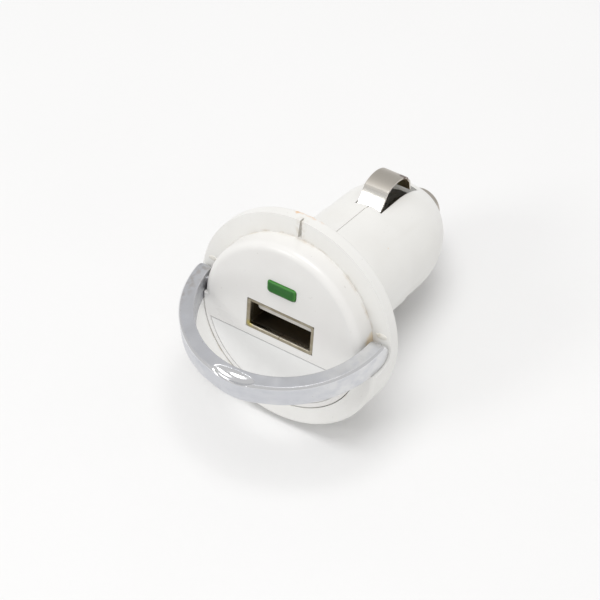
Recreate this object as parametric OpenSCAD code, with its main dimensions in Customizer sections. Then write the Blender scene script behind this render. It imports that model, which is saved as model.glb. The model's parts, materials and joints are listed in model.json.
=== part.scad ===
// Car charger plug with one USB-A socket, a folding pull ring and sprung contacts.
// Each piece is drawn about the plug's own axis: Y runs from the face (-Y) to the tip (+Y),
// Z points from the label up to the light, and Y = 0 is the flange's back face.
// laid() then tips the whole plug onto the table, where it rests on its flange's rim
// and on the lower side contact.

/* [Barrel] */
// Barrel diameter, made for a car socket about 21.3 mm wide
barrel_d = 21; // [20:0.1:22]
// Length from the flange's back to the end of the nose
barrel_len = 36.2; // [35.8:0.1:37]
// Length of the full-width part behind the flange, which guides the plug in the socket
guide_len = 18; // [17:0.1:18.4]
// How much narrower the barrel is past it, on the radius
relief = 0.18; // [0.16:0.01:0.25]
// Length of the barrel's straight part, in front of the rounded nose
straight_len = 24; // [23.6:0.1:24.4]
// Radius left at the nose's end, round the tip contact
nose_end_r = 4.8; // [4.7:0.1:5.4]
// Barrel wall
barrel_wall = 1.6; // [1.4:0.1:1.8]
// Wall at the far end
end_wall = 2.4; // [2:0.1:3]
// Rounding of the nose's end
tip_round = 0.6; // [0.4:0.1:0.8]

/* [Head] */
// How far the flange stands out past the round face
flange_edge = 3.4; // [3.3:0.05:4]
// Flange thickness behind the ring's recess
flange_t = 2.5; // [2.2:0.1:3.5]
// Diameter of the round face
face_d = 31; // [30.8:0.1:31.2]
// How far the face stands in front of the recess
face_rise = 4.3; // [4.2:0.1:5]
// Rounding of the face's free upper edge
face_round = 1.3; // [0.8:0.1:1.6]
// Rounding of the flange's rim
rim_round = 0.6; // [0.3:0.1:0.9]
// Depth of the small flat that keeps the rim from rolling
rest_flat = 0.06; // [0.04:0.01:0.08]
// Front wall of the face
face_wall = 1.8; // [1.4:0.1:2]
// Side wall of the face
side_wall = 2.6; // [2.4:0.1:3]
// Depth of the spigot that centres the face in the flange
spigot_len = 1.1; // [0.8:0.1:1.4]

/* [Pull ring] */
// Radial width of the ring
ring_w = 2.6; // [2.4:0.05:2.7]
// Depth of the ring from front to back
ring_depth = 4.1; // [3.6:0.1:4.2]
// Clearance between ring and face
ring_gap = 0.4; // [0.4:0.05:0.5]
// Bevel along the ring's edges
ring_bevel = 0.4; // [0.2:0.05:0.6]
// Height of the ring's pivot above the plug's axis
pivot_z = 1.2; // [1:0.1:1.6]
// How far the ring is swung open, measured from folded up
ring_open = 103; // [92:1:103]
// Pivot pin diameter
pin_d = 1.6; // [1.4:0.1:1.8]
// Radius of the thumb scoop
scoop_r = 6.5; // [5:0.5:9]
// Depth of the thumb scoop
scoop_deep = 1.2; // [0.8:0.1:1.6]

/* [Socket] */
// Inner width of the USB-A shell
usb_w = 12.5; // [12.4:0.05:12.6]
// Inner height of the USB-A shell
usb_h = 5.12; // [5.05:0.01:5.2]
// Sheet thickness of the shell
usb_sheet = 0.3; // [0.25:0.05:0.35]
// Length of the shell
usb_len = 13.8; // [13:0.1:14.5]
// Height of the socket's middle above the plug's axis
usb_z = 0.1; // [-0.3:0.1:0.4]
// Thickness of the tongue
tongue_t = 1.84; // [1.7:0.02:1.9]
// Gap between the tongue and the shell's top
tongue_gap = 0.7; // [0.6:0.05:0.8]

/* [Light and label] */
// Width of the light's lens
lens_w = 5.5; // [4:0.1:7]
// Height of the light's lens
lens_h = 2.2; // [1.8:0.1:2.8]
// Corner radius of the lens
lens_corner = 0.6; // [0.3:0.1:0.8]
// How far the lens stands out
lens_rise = 0.4; // [0.1:0.05:0.5]
// Height of the lens's middle above the plug's axis
lens_z = 7.4; // [6.8:0.1:8]
// Height of the label's straight top edge
label_z = -4.4; // [-6:0.1:-4]
// Distance from the label's round edge to the edge of the face
label_inset = 1; // [0.9:0.1:3]
// Label film thickness
label_t = 0.15; // [0.1:0.05:0.2]

/* [Side contacts] */
// Width of a contact strip
strip_w = 4.7; // [4:0.1:5]
// Thickness of a contact strip
strip_t = 0.4; // [0.3:0.05:0.5]
// Distance from the flange to where the strip leaves the barrel
strip_root = 19.4; // [19.2:0.1:19.8]
// How far the strip's crest stands above the barrel
strip_rise = 3.25; // [3:0.05:3.3]
// Radius of the strip's crest
arch_r = 6.1; // [5.8:0.1:6.4]
// Slope of the strip's ramp
ramp_deg = 56; // [52:1:60]

/* [Tip contact] */
// Diameter of the tip contact
tip_d = 7.2; // [6:0.1:7.4]
// How far the tip contact stands out of the barrel
tip_out = 3; // [2.8:0.1:3.4]
// Radius of its domed end
tip_dome = 5; // [4:0.1:8]
// Coil spring's mean diameter
coil_d = 4.8; // [4.6:0.1:5.2]
// Coil spring's wire
coil_wire = 0.5; // [0.4:0.05:0.55]

/* [Circuit] */
// Board width, its edges sit in grooves of the two halves
board_w = 17.2; // [17:0.1:17.4]
// Board thickness
board_t = 1.2; // [1:0.1:1.3]
// Distance from the flange's back to the board's far end
board_end = 22.2; // [21.8:0.1:22.4]
// Output capacitor diameter
cap_out_d = 5; // [4:0.1:5]
// Output capacitor height
cap_out_h = 5.4; // [4:0.1:6]
// Input capacitor diameter
cap_in_d = 4.6; // [4:0.1:4.8]
// Input capacitor length
cap_in_len = 6; // [5:0.1:6]
// Inductor diameter
coil_core_d = 6.2; // [5:0.1:6.4]
// Inductor height
coil_core_h = 4.6; // [3.6:0.1:5]

/* [Fits] */
// Running clearance round the pins and the tip contact, on the radius
run_gap = 0.05; // [0.02:0.01:0.08]
// Gap round pieces that are dropped or pressed in, on the radius
seat_gap = 0.1; // [0.05:0.01:0.15]

/* [Hidden] */

round_fn = 96;
over = 0.5;
far = 60;

barrel_r = barrel_d / 2;
bore_r = barrel_r - barrel_wall;
slim_r = barrel_r - relief;
face_r = face_d / 2;
flange_r = face_r + flange_edge;
label_r = face_r - label_inset;
floor_y = -flange_t;
face_y = floor_y - face_rise;
cavity_end = barrel_len - end_wall;
nose_drop = slim_r - nose_end_r;
nose_len = barrel_len - straight_len;
nose_r = (nose_len * nose_len + nose_drop * nose_drop) / (2 * nose_drop);
peg_r = 0.6;
peg_len = 1.4;
ring_peg = 1.7;
peg_spots = [[barrel_len - 1.4, nose_end_r - 0.1], [barrel_len - 1.4, -nose_end_r + 0.1],
    [floor_y + 1.5, ring_peg - flange_r], [floor_y + 1.7, flange_r - ring_peg]];

spigot_r = face_r - 1.2;
cup_r = face_r - side_wall;
low_round = 0.3;

ring_in_r = face_r + ring_gap;
ring_out_r = ring_in_r + ring_w;
ring_end_r = ring_depth / 2;
ring_swing_gap = 0.12;
ring_front_y = face_y;
ring_back_y = ring_front_y + ring_depth;
pivot_y = ring_front_y + ring_end_r;
ring_stop = 103;
ring_low = ring_stop - 90;
pin_r = pin_d / 2;
pin_in = 2;
pin_cover = 0.6;

shell_w = usb_w + 2 * usb_sheet;
shell_h = usb_h + 2 * usb_sheet;
shell_back = face_y + usb_len;
board_top = usb_z - shell_h / 2;
board_front = face_y + face_wall + 0.4;
tongue_w = usb_w - 1.2;
tongue_top = usb_z + usb_h / 2 - tongue_gap;
tongue_low = tongue_top - tongue_t;
tongue_y = face_y + 2;
block_y = face_y + 9;
usb_pin_x = [-3.5, -1, 1, 3.5];
usb_pin_w = 1.1;
usb_pin_t = 0.25;

lens_deep = 2;
led_r = 1.5;
led_y = face_y + lens_deep + 0.2;
led_len = 3.8;
lead_r = 0.25;
led_z = lens_z - 0.8;
lead_x = 1.27;
lead_back = shell_back + 1.8;

strip_mid = strip_t / 2;
tail_z = bore_r - 0.75 - strip_mid;
tail_y = 13.5;
arch_half = 31;
fall_deg = 36;
end_deg = 75;
arch_z = barrel_r + strip_rise;
arch_side_z = arch_z - arch_r * (1 - cos(arch_half));
arch_y = strip_root + (arch_side_z - barrel_r) / tan(ramp_deg) + arch_r * sin(arch_half);
knee_z = barrel_r + 0.8;
knee_y = arch_y + arch_r * sin(arch_half) + (arch_side_z - knee_z) / tan(fall_deg);
end_z = barrel_r - 1.3;
end_y = knee_y + (knee_z - end_z) / tan(end_deg);
slot_gap = 0.3;
slot_low = bore_r - 3.4;
slot_end = end_y + 1;

tip_r = tip_d / 2;
tip_flange_r = tip_r + 0.6;
tip_flange_t = 1.2;
tip_flange_y = cavity_end - seat_gap - tip_flange_t;
plate_t = 0.5;
plate_w = 6;
plate_y = board_end - plate_t;

wire_r = 0.3;
wire_x = -0.4;
wire_gap = 0.2;
cap_in_x = -4.7;
cap_in_y = 21.5;
cap_lead_r = 0.2;
lead_spots = [[-lead_x, lead_back, lead_r], [lead_x, lead_back, lead_r],
    [cap_in_x - 1, cap_in_y + 0.2, cap_lead_r], [cap_in_x + 1, cap_in_y + 0.2, cap_lead_r]];
tab_y = [face_y + 5, shell_back - 2];
tab_w = 1.2;
core_x = 3.7;
core_y = 12.4;
cap_out_x = -3.9;
cap_out_y = core_y - 0.2;
chip_x = 4.6;
chip_y = 18.3;
chip_w = 3.9;
chip_len = 4.9;
chip_h = 1.4;
chip_legs = 4;
chip_leg_w = 0.45;
leg_pitch = 1.27;
diode_x = -2.5;
diode_y = 6;
diode_w = 4.2;
diode_len = 2.6;
diode_h = 1.9;
diode_leg_w = 1.5;
resistor_spots = [[3.4, 4.5], [3.4, 8], [-3.2, 10.2], [5.2, 14], [-5.2, 14]];
resistor_l = 2;
resistor_w = 1.2;
resistor_h = 0.5;
foot_w = 3.6;
foot_len = 1.6;
seam_deg = 1;
seam_deep = relief + 0.02;

// The plug rests on the flange's rim, at its small flat, and on the crest of the lower strip.
rim_c = [-rim_round, flange_r - rim_round];
crest_c = [arch_y, arch_z - arch_r];
rest_dy = crest_c[0] - rim_c[0];
rest_dz = rim_c[1] - crest_c[1];
rest_tilt = atan2(rest_dz, rest_dy)
    + asin((rim_round - rest_flat - arch_r) / sqrt(rest_dy * rest_dy + rest_dz * rest_dz));
rest_z = -rim_c[0] * sin(rest_tilt) - rim_c[1] * cos(rest_tilt) - rim_round + rest_flat;

plastic = [0.93, 0.92, 0.89];
inner_plastic = [0.9, 0.89, 0.86];
chrome = [0.72, 0.74, 0.78];
nickel = [0.75, 0.74, 0.7];
steel = [0.66, 0.66, 0.66];
black = [0.08, 0.08, 0.09];
lens_green = [0.1, 0.55, 0.42];
film = [0.94, 0.94, 0.92];
board_green = [0.06, 0.35, 0.16];
copper = [0.78, 0.42, 0.2];
ferrite = [0.2, 0.2, 0.21];
can_blue = [0.14, 0.2, 0.42];

function heading(angle) = [cos(angle), sin(angle)];
function meet(p, a, q, b) = p + heading(a) * cross(q - p, heading(b)) / cross(heading(a), heading(b));

module laid() {
    rotate([-rest_tilt, 0, 0]) children();
}

// Turns a profile of radius against length about the plug's axis.
module turned(start = 0, turn = 360) {
    rotate([-90, 0, 0]) rotate([0, 0, start])
        rotate_extrude(angle = turn, $fn = round_fn) children();
}

// Stands a flat outline on a plane across the axis; it grows towards the viewer.
module on_face(y, deep) {
    translate([0, y, 0]) rotate([90, 0, 0]) linear_extrude(deep) children();
}

// Runs an outline of length against height across the plug, from side to side.
module across(wide) {
    translate([-wide / 2, 0, 0]) rotate([90, 0, 90]) linear_extrude(wide) children();
}

module rod_y(r, y, long, x = 0, z = 0) {
    translate([x, y, z]) rotate([-90, 0, 0]) cylinder(r = r, h = long, $fn = 48);
}

module rod_x(r, x, long, y = 0, z = 0) {
    translate([x, y, z]) rotate([0, 90, 0]) cylinder(r = r, h = long, $fn = 48);
}

module block(x, y, z) {
    translate([x[0], y[0], z[0]]) cube([x[1] - x[0], y[1] - y[0], z[1] - z[0]]);
}

// Profile of a round post, with its edges rounded at the near and far end.
module post(r, y0, y1, near, end) {
    difference() {
        union() {
            translate([0, y0 + near]) square([r, y1 - y0 - near - end]);
            translate([0, y0]) square([r - near, near + over]);
            translate([0, y1 - end - over]) square([r - end, end + over]);
            translate([r - near, y0 + near]) circle(near, $fn = 48);
            translate([r - end, y1 - end]) circle(end, $fn = 48);
        }
        translate([-far, y0 - over]) square([far, y1 - y0 + 2 * over]);
    }
}

module rounded_plate(w, h, r) {
    square([w - 2 * r, h], center = true);
    square([w, h - 2 * r], center = true);
    for (x = [-1, 1], y = [-1, 1])
        translate([x * (w / 2 - r), y * (h / 2 - r)]) circle(r, $fn = 32);
}

// Profile of the barrel, less an inset: full width, a little slimmer, then rounded to the nose.
module barrel_profile(inset, y0, y1, edge) {
    c = [slim_r - nose_r, straight_len];
    r = nose_r - inset;
    e = [c[0] + sqrt(pow(r - edge, 2) - pow(y1 - c[1] - edge, 2)), y1 - edge];
    difference() {
        union() {
            translate([0, y0]) square([barrel_r - inset, guide_len - y0]);
            translate([0, y0]) square([slim_r - inset, straight_len - y0]);
            intersection() {
                translate(c) circle(r, $fn = 192);
                polygon([c, c + 4 * (e - c), [far, c[1]]]);
            }
            translate([0, y0]) square([e[0], y1 - y0]);
            translate(e) circle(edge, $fn = 48);
        }
        translate([-far, y0 - over]) square([far, y1 - y0 + 2 * over]);
    }
}

module half_moon(r, top) {
    intersection() {
        circle(r, $fn = round_fn);
        translate([-far, top - 2 * far]) square([2 * far, 2 * far]);
    }
}

module pivot_frame(angle) {
    translate([0, pivot_y, pivot_z]) rotate([angle, 0, 0])
        translate([0, -pivot_y, -pivot_z]) children();
}

// Outline of everything the ring sweeps between folded up and fully open.
module ring_sweep() {
    r = ring_end_r + ring_swing_gap;
    d = [-cos(ring_low), -sin(ring_low)];
    n = [sin(ring_low), -cos(ring_low)];
    p = [pivot_y, pivot_z];
    translate(p) circle(r, $fn = 48);
    polygon([p, p + n * r, p + n * r + d * far, [-far, far], [floor_y, far], [floor_y, pivot_z]]);
}

module strip_slot() {
    lean = 1 / tan(ramp_deg);
    across(strip_w + 2 * slot_gap) polygon([
        [strip_root - slot_gap + (slot_low - barrel_r) * lean, slot_low],
        [strip_root - slot_gap + strip_rise * lean, barrel_r + strip_rise],
        [slot_end, barrel_r + strip_rise],
        [slot_end, slot_low]]);
}

// Fine grooves that show where the two halves meet.
module seam_marks() {
    for (side = [90, 270])
        turned(side - seam_deg / 2, seam_deg) difference() {
            square([barrel_r + over, barrel_len + over]);
            barrel_profile(seam_deep, -over, barrel_len - seam_deep, tip_round);
        }
    on_face(floor_y + 0.9, 0.9 + over)
        polygon([[-0.4, face_r], [0.4, face_r], [0.08, flange_r + 1], [-0.08, flange_r + 1]]);
}

module housing() {
    difference() {
        union() {
            turned() post(flange_r, face_y, 0, rim_round, rim_round);
            turned() barrel_profile(0, -over, barrel_len, tip_round);
        }
        turned() translate([0, face_y - over]) square([face_r + seat_gap, face_rise + over]);
        turned() translate([0, floor_y - over])
            square([spigot_r + seat_gap, spigot_len + 0.1 + over]);
        turned() barrel_profile(barrel_wall, floor_y - over, cavity_end, 0.8);
        turned() translate([0, cavity_end - over]) square([tip_r + run_gap, far]);
        across(2 * far) intersection() {
            ring_sweep();
            translate([-far, -far]) square([far + floor_y, 2 * far]);
        }
        strip_slot();
        mirror([0, 0, 1]) strip_slot();
        block([-board_w / 2 - seat_gap, board_w / 2 + seat_gap],
            [floor_y - over, board_end + seat_gap],
            [board_top - board_t - seat_gap, board_top + seat_gap]);
        seam_marks();
        rotate([rest_tilt, 0, 0]) block([-far, far], [-far, far], [-far, rest_z]);
    }
}

module housing_left() {
    color(plastic) laid() {
        intersection() {
            housing();
            block([-far, 0], [-far, far], [-far, far]);
        }
        for (p = peg_spots)
            rod_x(peg_r, -1, 1 + peg_len, p[0], p[1]);
    }
}

module housing_right() {
    color(plastic) laid() difference() {
        intersection() {
            housing();
            block([0, far], [-far, far], [-far, far]);
        }
        for (p = peg_spots)
            rod_x(peg_r + run_gap, -1, 1 + peg_len + 0.2, p[0], p[1]);
    }
}

module front_cap() {
    color(plastic) laid() difference() {
        union() {
            turned(180, 180) post(face_r, face_y, floor_y, face_round, 0.1);
            turned(0, 180) post(face_r, face_y, floor_y - seat_gap, low_round, 0.1);
            turned() translate([0, floor_y - over]) square([spigot_r, spigot_len + over]);
        }
        turned() translate([0, face_y + face_wall]) square([cup_r, far]);
        on_face(shell_back, usb_len + over)
            translate([0, usb_z])
                square([shell_w + 2 * seat_gap, shell_h + 2 * seat_gap], center = true);
        on_face(face_y + face_wall + over, face_wall + 2 * over)
            translate([0, lens_z])
                rounded_plate(lens_w + 2 * seat_gap, lens_h + 2 * seat_gap, lens_corner);
        on_face(face_y + label_t + 0.05, far) half_moon(label_r + seat_gap, label_z + seat_gap);
        for (side = [-1, 1])
            rod_x(pin_r, side * (face_r - pin_in / 2) - pin_in, 2 * pin_in, pivot_y, pivot_z);
    }
}

module light_lens() {
    color(lens_green) laid() {
        on_face(face_y + lens_deep, lens_deep + lens_rise)
            translate([0, lens_z]) rounded_plate(lens_w, lens_h, lens_corner);
        on_face(face_y + lens_deep, lens_deep - face_wall - 0.05)
            translate([0, lens_z]) rounded_plate(lens_w + 1.2, lens_h + 1.2, lens_corner);
    }
}

module label_film() {
    color(film) laid()
        on_face(face_y + label_t + 0.05, label_t) half_moon(label_r, label_z);
}

// Half ring, drawn folded up into its recess and then swung open about its pivots.
module pull_ring() {
    w = ring_w / 2;
    h = ring_end_r;
    b = ring_bevel;
    color(chrome) laid() pivot_frame(ring_open) difference() {
        intersection() {
            turned() translate([ring_in_r + w, pivot_y])
                polygon([[-w + b, -h], [w - b, -h], [w, -h + b], [w, h - b],
                    [w - b, h], [-w + b, h], [-w, h - b], [-w, -h + b]]);
            across(2 * far) {
                translate([pivot_y, pivot_z]) circle(ring_end_r, $fn = 64);
                translate([ring_front_y, pivot_z]) square([ring_depth, far]);
            }
        }
        translate([0, ring_back_y + scoop_r - scoop_deep, ring_in_r - 2])
            cylinder(r = scoop_r, h = ring_w + 4, $fn = 96);
        for (side = [-1, 1])
            rod_x(pin_r + run_gap, side * (ring_out_r - pin_cover - 4) - 4, 8, pivot_y, pivot_z);
    }
}

module pivot_pin(side) {
    a = face_r - pin_in;
    b = ring_out_r - pin_cover - 0.2;
    color(steel) laid()
        rod_x(pin_r, side > 0 ? a : -b, b - a, pivot_y, pivot_z);
}

module left_pin() {
    pivot_pin(-1);
}

module right_pin() {
    pivot_pin(1);
}

// Everything below one side of the strip: straight lines, with the crest rounded off.
module below_strip(r, line) {
    intersection() {
        polygon(line);
        union() {
            translate([arch_y, arch_z - arch_r]) circle(r, $fn = round_fn);
            translate([0, -far]) square([2 * far, far + arch_z - arch_r + r * cos(arch_half) - 0.3]);
        }
    }
}

// Bent strip: tail under the barrel wall, ramp, rounded crest and an end turned down.
module contact_strip() {
    hub = [arch_y, arch_z - arch_r];
    r_in = arch_r - strip_t;
    ramp_out = hub + arch_r * heading(90 + arch_half);
    ramp_in = hub + r_in * heading(90 + arch_half);
    fall_out = hub + arch_r * heading(90 - arch_half);
    fall_in = hub + r_in * heading(90 - arch_half);
    knee_out = [knee_y, knee_z];
    end_out = [end_y, end_z];
    inward = strip_t * heading(-90 - end_deg);
    knee_in = meet(fall_in, -fall_deg, knee_out + inward, -end_deg);
    past_end = knee_in + 4 * heading(-end_deg);
    color(nickel) across(strip_w) difference() {
        below_strip(arch_r, [
            [tail_y, tail_z - 1],
            [tail_y, tail_z + strip_mid],
            meet([0, tail_z + strip_mid], 0, ramp_out, ramp_deg),
            meet(ramp_out, ramp_deg, fall_out, -fall_deg),
            knee_out,
            end_out,
            end_out + 3 * inward]);
        below_strip(r_in, [
            [tail_y - over, tail_z - 3],
            [tail_y - over, tail_z - strip_mid],
            meet([0, tail_z - strip_mid], 0, ramp_in, ramp_deg),
            meet(ramp_in, ramp_deg, fall_in, -fall_deg),
            knee_in,
            past_end,
            [past_end[0], tail_z - 3]]);
    }
}

module top_contact() {
    laid() contact_strip();
}

module bottom_contact() {
    laid() mirror([0, 0, 1]) contact_strip();
}

module tip_contact() {
    color(nickel) laid() {
        turned() translate([0, tip_flange_y]) square([tip_flange_r, tip_flange_t]);
        turned() intersection() {
            translate([0, tip_flange_y]) square([tip_r, barrel_len + tip_out - tip_flange_y]);
            translate([0, barrel_len + tip_out - tip_dome]) circle(tip_dome, $fn = 96);
        }
        turned() translate([0, tip_flange_y - 1.4]) square([coil_d / 2 - coil_wire - 0.3, 2]);
    }
}

// Coil spring between the spring plate and the tip contact.
module tip_spring() {
    turns = 7;
    steps = 24 * turns;
    sides = 8;
    y0 = board_end + coil_wire / 2 + 0.02;
    y1 = tip_flange_y - coil_wire / 2 - 0.02;
    pts = [for (i = [0 : steps], j = [0 : sides - 1])
        let (a = 360 * turns * i / steps, b = 360 * j / sides,
            r = coil_d / 2 + coil_wire / 2 * cos(b))
        [r * cos(a), y0 + (y1 - y0) * i / steps + coil_wire / 2 * sin(b), r * sin(a)]];
    walls = [for (i = [0 : steps - 1], j = [0 : sides - 1])
        let (k = (j + 1) % sides)
        [i * sides + j, (i + 1) * sides + j, (i + 1) * sides + k, i * sides + k]];
    ends = [[for (j = [0 : sides - 1]) j], [for (j = [sides - 1 : -1 : 0]) steps * sides + j]];
    color(steel) laid() polyhedron(pts, concat(walls, ends));
}

module spring_plate() {
    color(nickel) laid() {
        block([-plate_w / 2, plate_w / 2], [plate_y, board_end], [board_top, coil_d / 2 + 0.8]);
        block([-foot_w / 2, foot_w / 2], [plate_y - foot_len, plate_y + 0.1],
            [board_top, board_top + plate_t]);
    }
}

module circuit_board() {
    color(board_green) laid() difference() {
        block([-board_w / 2, board_w / 2], [board_front, board_end],
            [board_top - board_t, board_top]);
        for (x = [-1, 1], y = tab_y)
            translate([x * (shell_w - usb_sheet) / 2, y, board_top])
                cube([usb_sheet + 0.1, tab_w + 0.3, far], center = true);
        for (p = lead_spots)
            translate([p[0], p[1], board_top - far])
                cylinder(r = p[2] + run_gap, h = 2 * far, $fn = 24);
    }
}

module usb_shell() {
    s = usb_sheet;
    color(nickel) laid() {
        difference() {
            block([-shell_w / 2, shell_w / 2], [face_y, shell_back],
                [board_top, board_top + shell_h]);
            block([-usb_w / 2, usb_w / 2], [face_y - over, shell_back - s],
                [board_top + s, board_top + s + usb_h]);
            for (x = [-3.2, 3.2])
                block([x - 1.1, x + 1.1], [face_y + 3.6, face_y + 7],
                    [board_top - over, board_top + shell_h + over]);
            block([-0.04, 0.04], [face_y - over, shell_back - 1], [board_top - over, board_top + s + 0.1]);
            block([-usb_w / 2 + 1, usb_w / 2 - 1], [shell_back - 1, shell_back + over],
                [board_top - over, board_top + 1.5]);
        }
        for (x = [-1, 1], y = tab_y)
            block([x * (shell_w - s) / 2 - s / 2, x * (shell_w - s) / 2 + s / 2],
                [y - tab_w / 2, y + tab_w / 2], [board_top - board_t - 0.5, board_top + 1]);
    }
}

module usb_tongue() {
    g = 0.02;
    color(inner_plastic) laid() {
        block([-tongue_w / 2, tongue_w / 2], [tongue_y, block_y + 0.2], [tongue_low, tongue_top]);
        difference() {
            block([-usb_w / 2 + g, usb_w / 2 - g], [block_y, shell_back - usb_sheet - g],
                [board_top + usb_sheet + g, board_top + usb_sheet + usb_h - g]);
            for (x = usb_pin_x)
                block([x - usb_pin_w / 2 - g, x + usb_pin_w / 2 + g], [block_y - over, shell_back],
                    [board_top, tongue_low + g]);
        }
    }
}

module usb_contacts() {
    low = board_top - board_t - 0.3;
    back = shell_back - 0.7;
    color(copper) laid() for (x = usb_pin_x)
        across_at(x, usb_pin_w) polygon([
            [tongue_y + 0.8, tongue_low - 0.02],
            [tongue_y + 0.8, tongue_low - 0.02 - usb_pin_t],
            [tongue_y + 2.6, tongue_low - 0.5],
            [tongue_y + 5.2, tongue_low - 0.02 - usb_pin_t],
            [back - usb_pin_t, tongue_low - 0.02 - usb_pin_t],
            [back - usb_pin_t, board_top + 0.02],
            [back, board_top + 0.02],
            [back, tongue_low - 0.02],
            [tongue_y + 5.2, tongue_low - 0.02],
            [tongue_y + 2.6, tongue_low - 0.25]]);
}

module across_at(x, wide) {
    translate([x, 0, 0]) across(wide) children();
}

module chip_body(x, y, z, w, l, h, legs, leg_w) {
    translate([x, y, z + 0.15]) {
        translate([-w / 2, -l / 2, 0]) cube([w, l, h]);
        for (side = [-1, 1], i = [0 : legs - 1])
            translate([side * (w / 2 + 0.3) - 0.4, (i - (legs - 1) / 2) * leg_pitch - leg_w / 2, -0.15])
                cube([0.8, leg_w, 0.4]);
    }
}

module converter_chip() {
    color(black) laid()
        chip_body(chip_x, chip_y, board_top, chip_w, chip_len, chip_h, chip_legs, chip_leg_w);
}

module diode() {
    color(black) laid() translate([0, 0, 2 * (board_top - board_t / 2)]) mirror([0, 0, 1])
        chip_body(diode_x, diode_y, board_top, diode_w, diode_len, diode_h, 1, diode_leg_w);
}

module resistors() {
    low = board_top - board_t;
    color(black) laid() for (p = resistor_spots)
        block([p[0] - resistor_l / 2, p[0] + resistor_l / 2],
            [p[1] - resistor_w / 2, p[1] + resistor_w / 2], [low - resistor_h, low]);
}

module inductor_core() {
    lip = 0.8;
    r = coil_core_d / 2;
    color(ferrite) laid() translate([core_x, core_y, board_top]) {
        cylinder(r = r, h = lip, $fn = 64);
        cylinder(r = r * 0.5, h = coil_core_h, $fn = 64);
        translate([0, 0, coil_core_h - lip]) cylinder(r = r, h = lip, $fn = 64);
    }
}

module inductor_coil() {
    r = coil_core_d / 2;
    color(copper) laid() translate([core_x, core_y, board_top + 0.85]) difference() {
        cylinder(r = r - 0.35, h = coil_core_h - 1.7, $fn = 64);
        translate([0, 0, -over]) cylinder(r = r * 0.5 + 0.03, h = far, $fn = 64);
    }
}

// Electrolytic can with its crimped neck, standing on its rubber end.
module can(d, h) {
    r = d / 2;
    cylinder(r = r, h = 0.9, $fn = 64);
    cylinder(r = r - 0.25, h = h - 0.2, $fn = 64);
    translate([0, 0, 1.4]) cylinder(r = r, h = h - 1.4, $fn = 64);
}

module output_capacitor() {
    color(can_blue) laid() translate([cap_out_x, cap_out_y, board_top]) can(cap_out_d, cap_out_h);
}

module input_capacitor() {
    r = cap_in_d / 2;
    color(can_blue) laid() {
        translate([cap_in_x, cap_in_y, board_top + r]) rotate([90, 0, 0]) can(cap_in_d, cap_in_len);
        for (x = [-1, 1]) {
            rod_y(cap_lead_r + 0.08, cap_in_y - 0.1, 0.6, cap_in_x + x, board_top + r);
            translate([cap_in_x + x, cap_in_y + 0.2, board_top - board_t])
                cylinder(r = cap_lead_r, h = board_t + r + 0.1, $fn = 24);
        }
    }
}

module status_led() {
    color(lens_green) laid() {
        turned_at(led_z) post(led_r, led_y, led_y + led_len, 1.4, 0.1);
        turned_at(led_z) translate([0, led_y + led_len - 0.9]) square([led_r + 0.35, 0.9]);
        for (x = [-lead_x, lead_x]) {
            rod_y(lead_r, led_y + led_len - 0.3, lead_back - led_y - led_len + 0.3 + lead_r, x, led_z);
            translate([x, lead_back, board_top - board_t - 0.3])
                cylinder(r = lead_r, h = led_z - board_top + board_t + 0.3, $fn = 24);
        }
    }
}

module turned_at(z) {
    translate([0, 0, z]) turned() children();
}

// Wires from the two strips' tails to the board.
module ground_wires() {
    color(steel) laid() {
        translate([wire_x, tail_y, board_top])
            cylinder(r = wire_r, h = tail_z - strip_mid - wire_gap - board_top, $fn = 24);
        translate([wire_x, tail_y, -tail_z + strip_mid + wire_gap])
            cylinder(r = wire_r, h = board_top - board_t + tail_z - strip_mid - wire_gap, $fn = 24);
    }
}

housing_left();
housing_right();
front_cap();
light_lens();
label_film();
pull_ring();
left_pin();
right_pin();
top_contact();
bottom_contact();
tip_contact();
tip_spring();
spring_plate();
circuit_board();
usb_shell();
usb_tongue();
usb_contacts();
converter_chip();
inductor_core();
inductor_coil();
output_capacitor();
input_capacitor();
diode();
resistors();
status_led();
ground_wires();
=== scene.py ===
# %% [markdown]
# # A car USB charger plug
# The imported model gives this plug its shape, its size and its motion. This lesson gives it its
# looks. Every solid gets a procedural material, and the pieces that the eye goes to, such as the
# pull ring and the side contacts, are built again as finer meshes on the same places.
#
# Lengths are in millimetres in the plug's own frame, as on a maker's drawing: Y runs along the
# plug from its face to its tip, and Z points from the label up to the light. Blender works in
# metres, and the plug lies tipped on the table, so one helper turns the first into the second.

import json
import math

import bmesh
import bpy
from mathutils import Matrix, Vector, noise

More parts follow.
